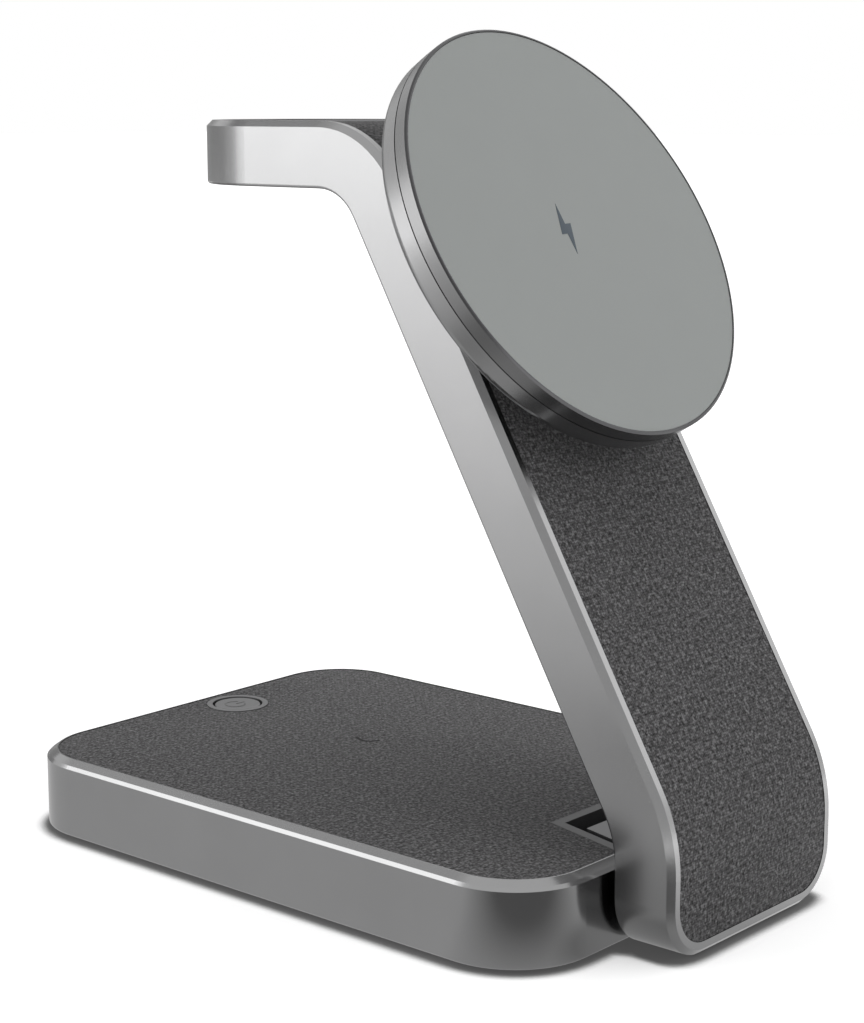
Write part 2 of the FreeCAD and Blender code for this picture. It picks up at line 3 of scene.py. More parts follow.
import bmesh
import bpy
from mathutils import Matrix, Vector


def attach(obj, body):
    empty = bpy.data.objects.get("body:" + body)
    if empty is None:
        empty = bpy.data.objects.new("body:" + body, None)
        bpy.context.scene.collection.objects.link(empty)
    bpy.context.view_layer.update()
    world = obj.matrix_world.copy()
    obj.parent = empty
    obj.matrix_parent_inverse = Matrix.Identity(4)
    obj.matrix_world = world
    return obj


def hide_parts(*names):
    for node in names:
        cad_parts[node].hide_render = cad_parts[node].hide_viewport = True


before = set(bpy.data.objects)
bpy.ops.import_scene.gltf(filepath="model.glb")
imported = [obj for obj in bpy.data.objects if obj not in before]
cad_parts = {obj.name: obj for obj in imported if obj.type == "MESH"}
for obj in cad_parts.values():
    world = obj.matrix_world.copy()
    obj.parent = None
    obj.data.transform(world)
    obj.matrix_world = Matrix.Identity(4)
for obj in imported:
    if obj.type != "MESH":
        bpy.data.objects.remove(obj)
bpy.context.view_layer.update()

# Looks of the four-in-one wireless charger. Sizes are in millimetres, as in the part's source, and MM turns
# them into Blender's metres.
MM = 0.001

# Base
BASE_HALF = 33.7
BASE_FRONT = -42.6
BASE_BACK = 52.2
BASE_CORNER = 11.4
BASE_CLOTH_INSET = 1.62
BASE_CLOTH_TOP = 11.35
POCKET_BACK = -28.8
POCKET_HALF = 8.75
POCKET_FLARE = 0.26
POCKET_RIM = 1.52
BUTTON = (3.9, 44.9)
BUTTON_TOP = 11.39
BEZEL_RADIUS = 4.72
EARBUD_SPOT = (0.0, 16.9, 0.0)

# Arm
ARM_HALF = 18.2
ARM_THICKNESS = 8.65
ARM_FRONT = -52.2
ARM_LEAN = math.radians(30.2)
KNEE_HEIGHT = 17.0
KNEE_RADIUS = 13.0
TOP_RADIUS = 7.0
PLATFORM_TOP = 100.52
PLATFORM_END = 37.0
FOOT_CLEARANCE = 0.2
FOOT_CORNER = 7.2
FOOT_EDGE = 1.0
ARM_CLOTH_INSET = 1.77
PUCK_HOLE = 12.55
WINDOW_HALF = 7.4
WINDOW_REACH = 2.5
DISC_HEIGHT = 81.98
DISC_FACE_OUT = 10.25
# Height out from the arm beyond which the ring's front edge gets its painted shade
RING_EDGE_OUT = 10.11
DISC_SPOT = (0.0, ARM_FRONT + (DISC_HEIGHT - KNEE_HEIGHT) * math.tan(ARM_LEAN), DISC_HEIGHT)

# Cloth and printed marks
CLOTH_DROP = 0.1
CLOTH_THICKNESS = 0.5
CLOTH_EDGE = 0.06
MARK_THICKNESS = 0.04
BOLT_CENTRE = (-2.65, -0.03)
BOLT = [(-0.06, 3.55), (-1.28, -0.72), (-0.15, -0.68), (0.06, -3.55), (1.28, 0.72), (0.15, 0.68)]
EARBUD_MARK = [(2.52, 18.48), (1.77, 16.08), (3.42, 14.78)]
EARBUD_MARK_WIDTH = 0.45
POWER_SHIFT = -0.5
POWER_RADIUS = 1.5
POWER_STROKE = 0.28
POWER_GAP = 60
POWER_BAR_START = 0.3
POWER_BAR_REACH = 0.25
RIBBON_STEPS = 16

# Camera, from the fit to the photograph's edges
CAMERA_PLACE = (-227.364, -196.377, 102.66)
CAMERA_TURN = (79.602, 0.0, -48.952)
CAMERA_LENS = 78.17
CAMERA_SENSOR = 36.0


# Shader building

class Shader:
    """A material's node tree with short ways to add the nodes used here."""

    def __init__(self, name):
        self.material = bpy.data.materials.new(name)
        self.material.use_nodes = True
        self.tree = self.material.node_tree
        self.surface = self.tree.nodes["Principled BSDF"]

    def node(self, kind, settings=None, **inputs):
        made = self.tree.nodes.new(kind)
        for key, value in (settings or {}).items():
            setattr(made, key, value)
        for key, value in inputs.items():
            self.feed(made.inputs[int(key[1:]) if key[0] == "_" else key.replace("_", " ")], value)
        return made

    def feed(self, socket, value):
        if isinstance(value, bpy.types.NodeSocket):
            self.tree.links.new(value, socket)
        else:
            socket.default_value = value

    def places(self, kind="Object"):
        return self.node("ShaderNodeTexCoord").outputs[kind]

    def noise(self, places, scale, detail=2.0, roughness=0.5):
        made = self.node("ShaderNodeTexNoise", Vector=places, Scale=scale, Detail=detail,
                         Roughness=roughness)
        return made.outputs["Fac"]

    def maths(self, operation, a, b=0.0):
        return self.node("ShaderNodeMath", {"operation": operation}, _0=a, _1=b).outputs[0]

    def vector(self, operation, a, b=(0.0, 0.0, 0.0)):
        return self.node("ShaderNodeVectorMath", {"operation": operation}, _0=a, _1=b).outputs[0]

    def measure(self, operation, a, b=(0.0, 0.0, 0.0)):
        """Number that vectors give, such as a length, a distance or a dot product."""
        return self.node("ShaderNodeVectorMath", {"operation": operation}, _0=a, _1=b).outputs["Value"]

    def spread(self, value, at_low, at_high, low=0.0, high=1.0):
        """Runs from at_low to at_high while the value runs from low to high."""
        made = self.node("ShaderNodeMapRange", _0=value, _1=low, _2=high, _3=at_low, _4=at_high)
        return made.outputs[0]

    def ramp(self, value, stops):
        made = self.node("ShaderNodeValToRGB", _0=value)
        while len(made.color_ramp.elements) < len(stops):
            made.color_ramp.elements.new(0.5)
        for element, (at, color) in zip(made.color_ramp.elements, stops):
            element.position = at
            element.color = (*color, 1.0)
        return made.outputs[0]

    def bump(self, height, strength, distance):
        made = self.node("ShaderNodeBump", Height=height, Strength=strength, Distance=distance * MM)
        self.feed(self.surface.inputs["Normal"], made.outputs[0])

    def set(self, **inputs):
        for key, value in inputs.items():
            self.feed(self.surface.inputs[key.replace("_", " ")], value)


def tinted(color, amount):
    return tuple(channel * amount for channel in color)


def satin_metal(name, color, roughness, painted_edge_shade=None):
    """Fine blasted metal. The phone disc's ring also gets painted shade on its front edge: a dark colour in
    place of the dark reflection that edge shows.
    """
    shader = Shader(name)
    places = shader.places()
    cloud = shader.noise(places, 90.0, 3.0)
    grain = shader.noise(places, 5200.0, 2.0)
    tone = shader.ramp(cloud, [(0.3, tinted(color, 0.97)), (0.7, tinted(color, 1.02))])
    # Painted shade: beyond RING_EDGE_OUT the ring's front edge takes the dark edge colour in place of its
    # dark reflection.
    if painted_edge_shade:
        out = (0.0, -math.cos(ARM_LEAN), math.sin(ARM_LEAN))
        offset = shader.vector("SUBTRACT", places, tuple(c * MM for c in DISC_SPOT))
        height = shader.measure("DOT_PRODUCT", offset, out)
        front = shader.maths("GREATER_THAN", height, RING_EDGE_OUT * MM)
        mix = shader.node("ShaderNodeMix", {"data_type": "RGBA"}, _0=front, _6=tone, _7=(*painted_edge_shade, 1.0))
        tone = mix.outputs[2]
    shader.set(Base_Color=tone, Metallic=1.0,
               Roughness=shader.spread(grain, roughness - 0.04, roughness + 0.04))
    shader.bump(grain, 0.035, 0.02)
    return shader.material


def brushed_steel(name, color):
    shader = Shader(name)
    stretched = shader.vector("MULTIPLY", shader.places(), (300.0, 9000.0, 9000.0))
    grain = shader.noise(stretched, 1.0, 2.0)
    shader.set(Base_Color=shader.ramp(grain, [(0.2, tinted(color, 0.8)), (0.8, color)]), Metallic=1.0,
               Roughness=shader.spread(grain, 0.25, 0.4))
    shader.bump(grain, 0.08, 0.02)
    return shader.material


def moulded(name, color, roughness, grain_scale=2600.0, depth=0.02, cloudy=0.05):
    """Plastic or rubber with a fine moulded grain."""
    shader = Shader(name)
    places = shader.places()
    cloud = shader.noise(places, 140.0, 3.0)
    grain = shader.noise(places, grain_scale, 3.0, 0.6)
    tone = shader.ramp(cloud, [(0.3, tinted(color, 1 - cloudy)), (0.7, tinted(color, 1 + cloudy))])
    shader.set(Base_Color=tone, Roughness=shader.spread(grain, roughness - 0.06, roughness + 0.06))
    shader.bump(grain, 0.12, depth)
    return shader.material


def woven(name, thread, dark, middle, light):
    """Plain weave of mixed grey yarns, with painted shade in the weave's hollows. The mesh's UVs are in
    millimetres along the threads.
    """
    shader = Shader(name)
    flat = shader.places("UV")
    wander = shader.node("ShaderNodeTexNoise", Vector=flat, Scale=0.55, Detail=2.0).outputs["Color"]
    drift = shader.vector("MULTIPLY", shader.vector("SUBTRACT", wander, (0.5, 0.5, 0.5)), (0.9, 0.9, 0.0))
    threads = shader.vector("ADD", shader.vector("MULTIPLY", flat, (1 / thread, 1 / thread, 0.0)), drift)
    within = shader.node("ShaderNodeSeparateXYZ", _0=shader.vector("FRACTION", threads))
    cell = shader.vector("FLOOR", threads)
    cell_xy = shader.node("ShaderNodeSeparateXYZ", _0=cell)
    across = shader.maths("SINE", shader.maths("MULTIPLY", within.outputs[0], math.pi))
    along = shader.maths("SINE", shader.maths("MULTIPLY", within.outputs[1], math.pi))
    over = shader.maths("PINGPONG", shader.maths("ADD", cell_xy.outputs[0], cell_xy.outputs[1]), 1.0)
    warp = shader.maths("MULTIPLY", across, shader.spread(along, 0.55, 1.0))
    weft = shader.maths("MULTIPLY", along, shader.spread(across, 0.55, 1.0))
    height = shader.node("ShaderNodeMix", _0=over, _2=warp, _3=weft).outputs[0]
    yarn = shader.node("ShaderNodeTexWhiteNoise", {"noise_dimensions": "2D"}, Vector=cell).outputs["Value"]
    fleck = shader.noise(flat, scale=1.8, detail=1.5)
    fuzz = shader.noise(flat, scale=3.4, detail=1.0, roughness=0.4)
    # The tone is partly painted shade, darker in the weave's low places between the threads, and partly the
    # yarns' own colour and flecks.
    tone = shader.maths("MULTIPLY", height, 0.1)
    for part, share in ((yarn, 0.1), (fleck, 0.5), (fuzz, 0.33)):
        tone = shader.maths("ADD", tone, shader.maths("MULTIPLY", part, share))
    shader.set(Base_Color=shader.ramp(tone, [(0.35, dark), (0.52, middle), (0.74, light)]), Roughness=0.92,
               Sheen_Weight=0.1, Sheen_Roughness=0.5, Specular_IOR_Level=0.2)
    shader.bump(shader.maths("ADD", height, shader.maths("MULTIPLY", fleck, 2.0)), 0.35, 0.12)
    return shader.material


def wound_wire(name, color, centre, turn, wire):
    """Enamelled wire in rings about a centre, for a coil whose axis is turned about X, with painted shade
    in the grooves between the turns.
    """
    shader = Shader(name)
    local = shader.node("ShaderNodeMapping", {"vector_type": "TEXTURE"}, Vector=shader.places(),
                        Location=tuple(c * MM for c in centre), Rotation=(turn, 0.0, 0.0)).outputs[0]
    level = shader.vector("MULTIPLY", local, (1.0, 1.0, 0.0))
    radius = shader.measure("LENGTH", level)
    wave = shader.maths("SINE", shader.maths("MULTIPLY", radius, 2 * math.pi / (wire * MM)))
    strand = shader.spread(wave, 0.0, 1.0, low=-1.0)
    grain = shader.noise(shader.places(), 1500.0, 2.0)
    # Painted shade: the copper darkens towards the grooves between the turns.
    shader.set(Base_Color=shader.ramp(strand, [(0.0, tinted(color, 0.35)), (0.6, color)]), Metallic=1.0,
               Roughness=shader.spread(grain, 0.3, 0.45))
    shader.bump(strand, 0.6, 0.1)
    return shader.material


def circuit_board(name):
    """Solder mask with traces that run in two directions."""
    shader = Shader(name)
    places = shader.places()
    traces = shader.node("ShaderNodeTexBrick", {"offset": 0.37}, Vector=places, Scale=420.0,
                         Mortar_Size=0.035, Mortar=(0.03, 0.16, 0.07, 1.0),
                         Color1=(0.012, 0.07, 0.03, 1.0), Color2=(0.014, 0.085, 0.036, 1.0))
    grain = shader.noise(places, 2000.0, 2.0)
    shader.set(Base_Color=traces.outputs["Color"], Roughness=shader.spread(grain, 0.3, 0.45))
    shader.bump(traces.outputs["Fac"], 0.2, 0.03)
    return shader.material


GUNMETAL = (0.315, 0.315, 0.317)
FINISHES = {
    "gunmetal": satin_metal("gunmetal", GUNMETAL, 0.25),
    "base_metal": satin_metal("base_metal", GUNMETAL, 0.17),
    # The disc's shell is a darker copy of the gunmetal: painted shade that tones down the reflections on
    # its side.
    "shaded_disc_metal": satin_metal("shaded_disc_metal", tinted(GUNMETAL, 0.88), 0.25),
    # The ring is an even darker copy of the gunmetal: painted shade that tones down the highlight on its
    # side. Its front edge also carries painted shade.
    "ring": satin_metal("ring", tinted(GUNMETAL, 0.64), 0.25, painted_edge_shade=(0.07, 0.07, 0.072)),
    "trim": satin_metal("trim", (0.155, 0.155, 0.158), 0.4),
    "button": satin_metal("button", (0.215, 0.215, 0.218), 0.4),
    "cloth": woven("cloth", 0.33, (0.007, 0.007, 0.0072), (0.068, 0.066, 0.068), (0.24, 0.24, 0.244)),
    "black_plastic": moulded("black_plastic", (0.03, 0.03, 0.032), 0.5),
    "housing": moulded("housing", (0.085, 0.085, 0.087), 0.5),
    "face_grey": moulded("face_grey", (0.29, 0.304, 0.298), 0.62, 3800.0, 0.008, 0.008),
    "puck": moulded("puck", (0.035, 0.035, 0.037), 0.4, 1800.0, 0.004),
    "rubber": moulded("rubber", (0.02, 0.02, 0.02), 0.75),
    "steel": brushed_steel("steel", (0.52, 0.52, 0.53)),
    "board": circuit_board("board"),
    "ferrite": moulded("ferrite", (0.045, 0.045, 0.05), 0.65, 1200.0, 0.05),
    "magnet": satin_metal("magnet", (0.6, 0.6, 0.62), 0.2),
    "mark": moulded("mark", (0.045, 0.062, 0.08), 0.55),
    "thread": moulded("thread", (0.018, 0.018, 0.018), 0.9, 4000.0, 0.05),
    "icon": moulded("icon", (0.12, 0.12, 0.122), 0.5),
}
COPPER = (0.72, 0.34, 0.17)
COILS = {
    "earbud_coil": wound_wire("earbud_wire", COPPER, EARBUD_SPOT, 0.0, 0.9),
    "watch_coil": wound_wire("watch_wire", COPPER, (0.0, PLATFORM_END - ARM_HALF, 0.0), 0.0, 0.6),
    "phone_coil": wound_wire("phone_wire", COPPER, DISC_SPOT, math.pi / 2 - ARM_LEAN, 0.9),
}
NODE_FINISHES = {
    "gunmetal": ["arm_frame"],
    "base_metal": ["base_frame"],
    "shaded_disc_metal": ["disc_rear_shell"],
    "ring": ["disc_front_ring"],
    "trim": ["hinge_knuckle"],
    "housing": ["hinge_housing"],
    "button": ["button_bezel", "power_button"],
    "black_plastic": ["base_top_plate", "arm_panel", "bottom_cover", "button_switch", "switch_plunger"],
    "face_grey": ["disc_face"],
    "puck": ["watch_puck"],
    "rubber": ["rubber_feet"],
    "steel": ["hinge_shaft", "friction_sleeve", "cover_screws", "board_screws", "knuckle_screws",
              "bracket_screws", "disc_pivot_pin", "disc_bracket", "usb_c_socket"],
    "board": ["main_board", "disc_board"],
    "ferrite": ["earbud_ferrite", "phone_ferrite", "watch_ferrite"],
    "magnet": ["magnet_ring", "watch_magnet"],
}


def dress(node, material):
    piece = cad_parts[node]
    for place in piece.material_slots:
        place.material = material


for finish, nodes in NODE_FINISHES.items():
    for node in nodes:
        dress(node, FINISHES[finish])
for node, material in COILS.items():
    dress(node, material)


# Outlines and meshes

def even(start, end, steps):
    """Values in even steps from start to end."""
    return [start + (end - start) * i / steps for i in range(steps + 1)]


def arc(centre, radius, start, end, steps):
    """Points on a circle, angles in degrees."""
    turns = [math.radians(a) for a in even(start, end, steps)]
    return [(centre[0] + radius * math.cos(a), centre[1] + radius * math.sin(a)) for a in turns]


def circle(centre, radius, steps):
    return arc(centre, radius, 0, 360 - 360 / steps, steps - 1)


def added(name, mesh, material):
    piece = bpy.data.objects.new(name, mesh)
    bpy.context.scene.collection.objects.link(piece)
    mesh.materials.clear()
    mesh.materials.append(material)
    return piece


def flat_sheet(name, outlines, thickness, edge):
    """Sheet in the XY plane, in millimetres, with rounded edges. The first outline is the outer one."""
    curve = bpy.data.curves.new(name, "CURVE")
    curve.dimensions = "2D"
    curve.fill_mode = "BOTH"
    curve.extrude = thickness / 2 - edge
    curve.bevel_depth = edge
    curve.bevel_resolution = 2
    for outline in outlines:
        spline = curve.splines.new("POLY")
        spline.points.add(len(outline) - 1)
        spline.use_cyclic_u = True
        for point, (x, y) in zip(spline.points, outline):
            point.co = (x, y, 0.0, 1.0)
    holder = bpy.data.objects.new(name, curve)
    bpy.context.scene.collection.objects.link(holder)
    seen = holder.evaluated_get(bpy.context.evaluated_depsgraph_get())
    mesh = bpy.data.meshes.new_from_object(seen)
    bpy.data.objects.remove(holder)
    bpy.data.curves.remove(curve)
    return mesh


def shaped(mesh, place, cuts=()):
    """Cuts a flat mesh across Y, keeps its flat places as UVs and moves it to its real place."""
    work = bmesh.new()
    work.from_mesh(mesh)
    bmesh.ops.remove_doubles(work, verts=work.verts, dist=1e-4)
    for y in cuts:
        everything = work.verts[:] + work.edges[:] + work.faces[:]
        bmesh.ops.bisect_plane(work, geom=everything, plane_co=(0, y, 0), plane_no=(0, 1, 0))
    layer = work.loops.layers.uv.verify()
    for face in work.faces:
        face.smooth = True
        for loop in face.loops:
            loop[layer].uv = loop.vert.co.xy
    for vert in work.verts:
        vert.co = Vector(place(*vert.co)) * MM
    work.to_mesh(mesh)
    work.free()
    mesh.set_sharp_from_angle(angle=math.radians(40))
    return mesh


def base_cloth_outlines():
    inset = BASE_CLOTH_INSET + CLOTH_EDGE
    half = BASE_HALF - inset
    radius = BASE_CORNER - inset
    low = BASE_FRONT + inset
    high = BASE_BACK - inset
    notch = POCKET_HALF + POCKET_RIM + CLOTH_EDGE

    def side(y):
        return notch + POCKET_FLARE * (POCKET_BACK - y)

    notch_back = POCKET_BACK + POCKET_RIM + CLOTH_EDGE
    outer = arc((half - radius, low + radius), radius, -90, 0, 16)
    outer += arc((half - radius, high - radius), radius, 0, 90, 16)
    outer += arc((-half + radius, high - radius), radius, 90, 180, 16)
    outer += arc((-half + radius, low + radius), radius, 180, 270, 16)
    outer += [(-side(y), y) for y in (low, notch_back)]
    outer += [(side(y), y) for y in (notch_back, low)]
    return [outer, circle(BUTTON, BEZEL_RADIUS + CLOTH_EDGE, 48)]


class ArmPath:
    """The arm's front face, unrolled from the foot over the knee and the top bend to the platform's end."""

    def __init__(self):
        self.knee_radius = KNEE_RADIUS + ARM_THICKNESS
        self.top_radius = TOP_RADIUS + ARM_THICKNESS
        self.knee = (ARM_FRONT + self.knee_radius, KNEE_HEIGHT - self.knee_radius * math.tan(ARM_LEAN / 2))
        top_z = PLATFORM_TOP - self.top_radius
        run = self.top_radius + math.sin(ARM_LEAN) * (top_z - KNEE_HEIGHT)
        self.top = (ARM_FRONT + run / math.cos(ARM_LEAN), top_z)
        slope_start = self.on(self.knee, self.knee_radius, ARM_LEAN)
        slope_end = self.on(self.top, self.top_radius, ARM_LEAN)
        self.knee_start = self.knee[1] - FOOT_CLEARANCE
        self.knee_end = self.knee_start + self.knee_radius * ARM_LEAN
        self.top_start = self.knee_end + math.dist(slope_start, slope_end)
        self.top_end = self.top_start + self.top_radius * (math.pi / 2 - ARM_LEAN)
        self.length = self.top_end + PLATFORM_END - self.top[0]

    @staticmethod
    def on(centre, radius, angle):
        return (centre[0] - radius * math.cos(angle), centre[1] + radius * math.sin(angle))

    def place(self, x, s, out):
        """Point at a distance s along the arm, standing out from its front face."""
        if s < self.knee_start:
            return x, ARM_FRONT - out, FOOT_CLEARANCE + s
        if s < self.knee_end:
            angle = (s - self.knee_start) / self.knee_radius
            return x, *self.on(self.knee, self.knee_radius + out, angle)
        if s < self.top_start:
            y, z = self.on(self.knee, self.knee_radius + out, ARM_LEAN)
            further = s - self.knee_end
            return x, y + further * math.sin(ARM_LEAN), z + further * math.cos(ARM_LEAN)
        if s < self.top_end:
            angle = ARM_LEAN + (s - self.top_start) / self.top_radius
            return x, *self.on(self.top, self.top_radius + out, angle)
        return x, self.top[0] + s - self.top_end, PLATFORM_TOP + out

    def disc_place(self):
        """Distance along the arm at which the disc stands in front of it."""
        z = self.on(self.knee, self.knee_radius, ARM_LEAN)[1]
        return self.knee_end + (DISC_HEIGHT - z) / math.cos(ARM_LEAN)

    def cuts(self):
        """Lines across the arm that let the flat cloth follow the two bends."""
        return even(self.knee_start, self.knee_end, 12) + even(self.top_start, self.top_end, 20)


def arm_cloth_outlines(path):
    inset = ARM_CLOTH_INSET + CLOTH_EDGE
    half = ARM_HALF - inset
    radius = FOOT_CORNER - inset
    end_centre = path.length - ARM_HALF
    outer = arc((half - radius, inset + radius), radius, -90, 0, 12)
    outer += arc((0.0, end_centre), half, 0, 180, 64)
    outer += arc((-half + radius, inset + radius), radius, 180, 270, 12)
    puck = circle((0.0, end_centre), PUCK_HOLE + CLOTH_EDGE, 60)
    wide = WINDOW_HALF + CLOTH_EDGE
    tall = WINDOW_REACH + CLOTH_EDGE
    disc = path.disc_place()
    window = [(-wide, disc - tall), (wide, disc - tall), (wide, disc + tall), (-wide, disc + tall)]
    return [outer, puck, window]


def area(outlines):
    def one(points):
        following = points[1:] + points[:1]
        return abs(sum(a[0] * b[1] - b[0] * a[1] for a, b in zip(points, following))) / 2
    return (one(outlines[0]) - sum(one(hole) for hole in outlines[1:])) * MM * MM


def base_cloth():
    outlines = base_cloth_outlines()
    mesh = flat_sheet("base_cloth", outlines, CLOTH_THICKNESS, CLOTH_EDGE)
    middle = BASE_CLOTH_TOP - CLOTH_THICKNESS / 2
    piece = added("base_cloth", shaped(mesh, lambda x, y, z: (x, y, middle + z)), FINISHES["cloth"])
    area(outlines)
    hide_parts("base_fabric")
    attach(piece, "base")


def arm_cloth():
    path = ArmPath()
    outlines = arm_cloth_outlines(path)
    mesh = flat_sheet("arm_cloth", outlines, CLOTH_THICKNESS, CLOTH_EDGE)
    middle = -CLOTH_DROP - CLOTH_THICKNESS / 2
    mesh = shaped(mesh, lambda x, s, z: path.place(x, s, middle + z), path.cuts())
    piece = added("arm_cloth", mesh, FINISHES["cloth"])
    area(outlines)
    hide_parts("arm_fabric")
    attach(piece, "arm")


def on_disc(x, up, out):
    """Point on the phone disc: up runs up its face, out stands out from the arm's front."""
    y = DISC_SPOT[1] + up * math.sin(ARM_LEAN) - out * math.cos(ARM_LEAN)
    z = DISC_SPOT[2] + up * math.cos(ARM_LEAN) + out * math.sin(ARM_LEAN)
    return x, y, z


def mark(name, outlines, place, finish, body):
    """Thin printed or stitched mark whose back lies on the surface that carries it."""
    mesh = flat_sheet(name, outlines, MARK_THICKNESS, MARK_THICKNESS / 4)
    lifted = shaped(mesh, lambda x, y, z: place(x, y, z + MARK_THICKNESS / 2))
    piece = added(name, lifted, FINISHES[finish])
    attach(piece, body)


def charging_mark():
    outline = [(BOLT_CENTRE[0] + x, BOLT_CENTRE[1] + y) for x, y in BOLT]

    def place(x, y, z):
        return on_disc(x, y, DISC_FACE_OUT + z)

    mark("charging_mark", [outline], place, "mark", "disc")


def ribbon(points, width):
    """Outline of a band of even width along a smooth curve through three points."""
    start, middle, end = (Vector(p) for p in points)
    bend = 2 * middle - (start + end) / 2
    left, right = [], []
    for t in even(0.0, 1.0, RIBBON_STEPS):
        at = (1 - t) ** 2 * start + 2 * t * (1 - t) * bend + t * t * end
        along = (2 * (1 - t) * (bend - start) + 2 * t * (end - bend)).normalized()
        aside = Vector((-along.y, along.x)) * width / 2
        left.append(tuple(at + aside))
        right.append(tuple(at - aside))
    return left + right[::-1]


def earbud_mark():
    outline = ribbon(EARBUD_MARK, EARBUD_MARK_WIDTH)
    mark("earbud_mark", [outline], lambda x, y, z: (x, y, BASE_CLOTH_TOP + z), "thread", "base")


def power_mark():
    inner = POWER_RADIUS - POWER_STROKE / 2
    outer = POWER_RADIUS + POWER_STROKE / 2
    start = 90 + POWER_GAP / 2
    end = 450 - POWER_GAP / 2
    swing = arc((0, 0), outer, start, end, 40) + arc((0, 0), inner, end, start, 40)
    half = POWER_STROKE / 2
    top = outer + POWER_BAR_REACH
    bar = [(-half, POWER_BAR_START), (half, POWER_BAR_START), (half, top), (-half, top)]

    def place(x, y, z):
        return BUTTON[0] + POWER_SHIFT + y, BUTTON[1] - x, BUTTON_TOP + z

    mark("power_ring", [swing], place, "icon", "button")
    mark("power_bar", [bar], place, "icon", "button")


base_cloth()
arm_cloth()
charging_mark()
earbud_mark()
power_mark()


# Stage, light and camera, with places and sizes in metres

# Floor: its colour, the contact shadow's reach, fade and darkest share, and where it turns white
FLOOR_COLOR = (0.86, 0.86, 0.86)
CONTACT_REACH = 0.0032
CONTACT_FADE = (0.6, 0.85)
CONTACT_SHARE = 0.12
WHITE_FADE = (0.2, 1.6)

# Card on the floor: its level by distance from the middle, and zones that make it darker or paler. A zone
# has a place or direction, the two distances between which it fades, and its share at each of them.
CARD_SIZE = (1.8, 1.8)
CARD_LIFT = 0.0003
CARD_LEVELS = [(0.08, 0.7), (0.115, 0.78), (0.19, 0.98), (0.37, 1.35), (0.9, 1.87)]
# Spots by the left front corner, at the arm's foot and beside the base
CARD_SPOTS = [
    ((-0.062, -0.078, 0.0), (0.034, 0.057), (0.25, 1.0)),
    ((-0.017, -0.045, 0.0), (0.005, 0.011), (0.6, 1.0)),
    ((-0.11, -0.008, 0.0), (0.02, 0.05), (0.5, 1.0)),
]
# Directions to the right front and the right rear
CARD_WAYS = [
    ((0.754, -0.657, 0.0), (0.035, 0.06), (1.0, 1.8)),
    ((0.757, 0.653, 0.0), (0.045, 0.065), (1.0, 0.35)),
]
# From under the object to its edge
CARD_UNDER = ((-0.006, -0.002), (0.5, 1.0))


def seen_by_eye(tree):
    """1 for rays that show the background itself: from the camera, in gloss and through glass."""
    rays = tree.nodes.new("ShaderNodeLightPath")
    total = rays.outputs["Is Camera Ray"]
    for name in ("Is Glossy Ray", "Is Transmission Ray"):
        both = tree.nodes.new("ShaderNodeMath")
        both.operation = "MAXIMUM"
        tree.links.new(total, both.inputs[0])
        tree.links.new(rays.outputs[name], both.inputs[1])
        total = both.outputs[0]
    return total


def studio_world(ambient):
    world = bpy.data.worlds.new("studio")
    bpy.context.scene.world = world
    world.use_nodes = True
    tree = world.node_tree
    shown = tree.nodes["Background"]
    shown.inputs["Color"].default_value = (1.0, 1.0, 1.0, 1.0)
    shown.inputs["Strength"].default_value = 1.0
    lighting = tree.nodes.new("ShaderNodeBackground")
    lighting.inputs["Color"].default_value = (1.0, 1.0, 1.0, 1.0)
    lighting.inputs["Strength"].default_value = ambient
    mix = tree.nodes.new("ShaderNodeMixShader")
    tree.links.new(seen_by_eye(tree), mix.inputs[0])
    tree.links.new(lighting.outputs[0], mix.inputs[1])
    tree.links.new(shown.outputs[0], mix.inputs[2])
    tree.links.new(mix.outputs[0], tree.nodes["World Output"].inputs["Surface"])


def panel(name, size, material):
    """Rectangular stage mesh in the XY plane."""
    mesh = bpy.data.meshes.new(name)
    x, y = size[0] / 2, size[1] / 2
    mesh.from_pydata([(-x, -y, 0), (x, -y, 0), (x, y, 0), (-x, y, 0)], [], [(0, 1, 2, 3)])
    piece = added(name, mesh, material)
    return piece


def clearance(shader, places, centre, half, corner):
    """Distance on the floor from a rounded rectangle, negative inside it."""
    offset = shader.vector("SUBTRACT", places, (centre[0] * MM, centre[1] * MM, 0.0))
    core = ((half[0] - corner) * MM, (half[1] - corner) * MM, 1.0)
    beyond = shader.vector("SUBTRACT", shader.vector("ABSOLUTE", offset), core)
    outside = shader.vector("MAXIMUM", beyond, (0.0, 0.0, 0.0))
    return shader.maths("SUBTRACT", shader.measure("LENGTH", outside), corner * MM)


def off_object(shader, places):
    """Distance on the floor from where the object stands."""
    middle = (BASE_FRONT + BASE_BACK) / 2
    base = clearance(shader, places, (0.0, middle), (BASE_HALF, BASE_BACK - middle), BASE_CORNER)
    foot_half = (ARM_HALF - FOOT_CORNER / 2, ARM_THICKNESS / 2)
    foot = clearance(shader, places, (0.0, ARM_FRONT + ARM_THICKNESS / 2), foot_half, FOOT_EDGE)
    return shader.maths("MINIMUM", base, foot)


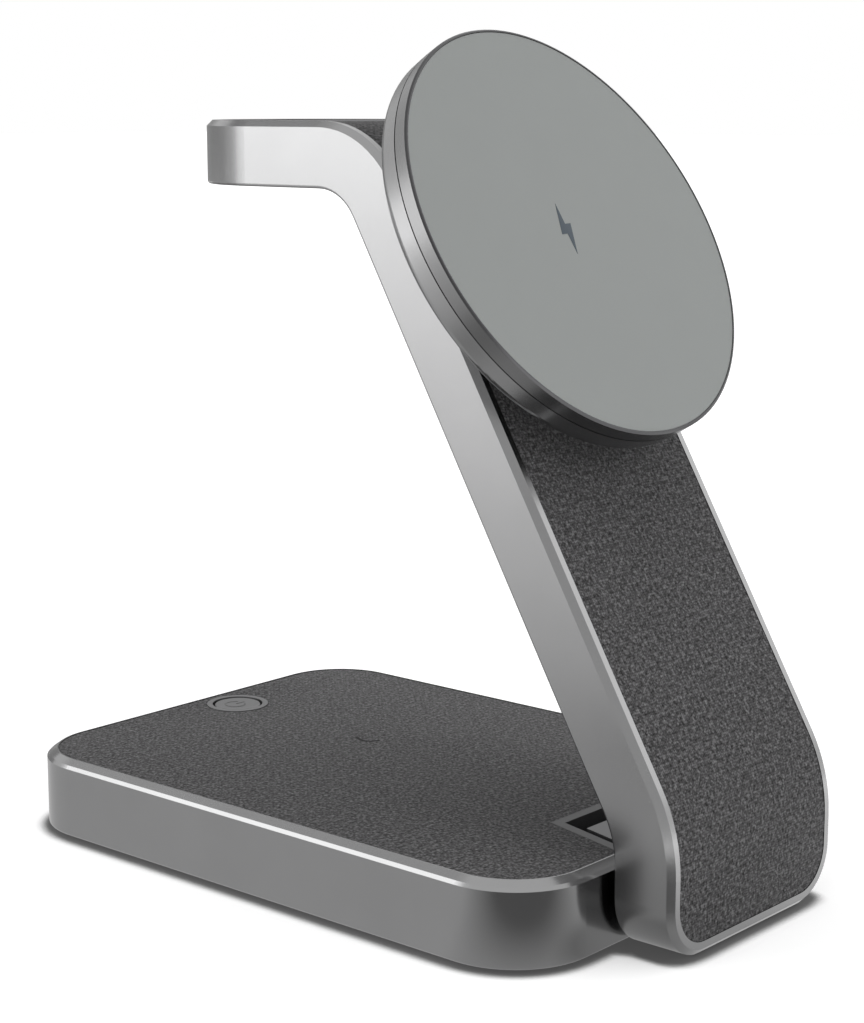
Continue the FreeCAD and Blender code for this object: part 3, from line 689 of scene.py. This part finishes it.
def floor(near, far):
    """Pale floor that takes the object's shadow and grows as white as the background far away."""
    shader = Shader("floor")
    occlusion = shader.node("ShaderNodeAmbientOcclusion", {"samples": 16}, Distance=CONTACT_REACH)
    contact = shader.spread(occlusion.outputs["AO"], CONTACT_SHARE, 1.0, *CONTACT_FADE)
    color = shader.ramp(contact, [(0.0, (0.0, 0.0, 0.0)), (1.0, FLOOR_COLOR)])
    shader.set(Base_Color=color, Roughness=0.9, Specular_IOR_Level=0.1)
    distance = shader.measure("LENGTH", shader.places())
    lift = shader.maths("MULTIPLY", shader.spread(distance, near, far, *WHITE_FADE), contact)
    shown = shader.maths("MULTIPLY", seen_by_eye(shader.tree), lift)
    glow = shader.node("ShaderNodeEmission", Strength=shown)
    both = shader.node("ShaderNodeAddShader", _0=shader.surface.outputs[0], _1=glow.outputs[0])
    shader.tree.links.new(both.outputs[0], shader.tree.nodes["Material Output"].inputs["Surface"])
    panel("floor", (12.0, 12.0), shader.material)


def aimed(piece, place, target):
    piece.location = place
    piece.rotation_euler = (Vector(target) - Vector(place)).to_track_quat("-Z", "Y").to_euler()


def softbox(name, place, target, size, radiance, in_gloss=True):
    light = bpy.data.lights.new(name, "AREA")
    light.shape = "RECTANGLE"
    light.size, light.size_y = size
    light.energy = radiance * math.pi * size[0] * size[1]
    lamp = bpy.data.objects.new(name, light)
    bpy.context.scene.collection.objects.link(lamp)
    aimed(lamp, place, target)
    lamp.visible_glossy = in_gloss


def card_shader(name):
    shader = Shader(name)
    shader.set(Base_Color=(0.0, 0.0, 0.0, 1.0), Roughness=1.0, Specular_IOR_Level=0.0,
               Emission_Color=(1.0, 1.0, 1.0, 1.0))
    return shader


def card(name, size, shader):
    """Grey card that only reflections see."""
    piece = panel(name, size, shader.material)
    piece.visible_camera = False
    piece.visible_diffuse = False
    piece.visible_shadow = False
    piece.visible_transmission = False
    return piece


def flag(name, place, target, size, level):
    shader = card_shader(name)
    shader.set(Emission_Strength=level)
    aimed(card(name, size, shader), place, target)


def table_card():
    """Card on the floor: dark under the object, by its left front corner and behind it, paler far away."""
    shader = card_shader("table_card")
    places = shader.places()
    halves = [(at, (value / 2,) * 3) for at, value in CARD_LEVELS]
    level = shader.maths("MULTIPLY", shader.ramp(shader.measure("LENGTH", places), halves), 2.0)
    zones = [(shader.measure("DISTANCE", places, spot), *zone) for spot, *zone in CARD_SPOTS]
    zones += [(shader.measure("DOT_PRODUCT", places, way), *zone) for way, *zone in CARD_WAYS]
    zones.append((off_object(shader, places), *CARD_UNDER))
    for distance, fade, share in zones:
        level = shader.maths("MULTIPLY", level, shader.spread(distance, *share, *fade))
    shader.set(Emission_Strength=level)
    card("table_card", CARD_SIZE, shader).location = (0.0, 0.0, CARD_LIFT)


def camera():
    data = bpy.data.cameras.new("camera")
    data.lens = CAMERA_LENS
    data.sensor_width = CAMERA_SENSOR
    data.clip_start = 0.01
    eye = bpy.data.objects.new("camera", data)
    bpy.context.scene.collection.objects.link(eye)
    eye.location = Vector(CAMERA_PLACE) * MM
    eye.rotation_euler = [math.radians(a) for a in CAMERA_TURN]
    bpy.context.scene.camera = eye


AIM = (0.0, 0.0, 0.05)
PLATFORM_AIM = (0.0, 0.0, 0.085)
studio_world(0.45)
floor(0.38, 0.9)
table_card()
softbox("left_rear", (-0.95, 0.8, 0.42), AIM, (0.9, 0.84), 2.0)
softbox("rear_top", (-0.56, 0.84, 0.9), AIM, (0.62, 0.4), 1.9)
softbox("right_front", (1.1, -0.7, 0.75), AIM, (0.8, 0.8), 0.58)
softbox("overhead", (0.1, -0.1, 1.5), AIM, (1.2, 1.2), 1.6, in_gloss=False)
softbox("front_fill", (0.3, -1.3, 0.8), AIM, (1.0, 0.8), 1.27, in_gloss=False)
flag("camera_flag", (-0.75, -0.65, 0.4), AIM, (1.0, 1.0), 0.7)
flag("rear_flag", (0.62, 1.1, 0.15), AIM, (1.75, 0.7), 0.4)
flag("rim_flag", (0.06, 0.85, 0.97), AIM, (0.6, 0.5), 0.75)
flag("top_edge_flag", (0.099, 0.8, 0.91), AIM, (0.2, 0.5), 0.12)
flag("end_flag", (-0.376, 0.706, 0.085), PLATFORM_AIM, (0.225, 0.11), 0.73)
flag("turn_flag", (-0.17, 0.782, 0.085), PLATFORM_AIM, (0.2, 0.11), 0.45)
camera()

scene = bpy.context.scene
scene.view_settings.view_transform = "Standard"
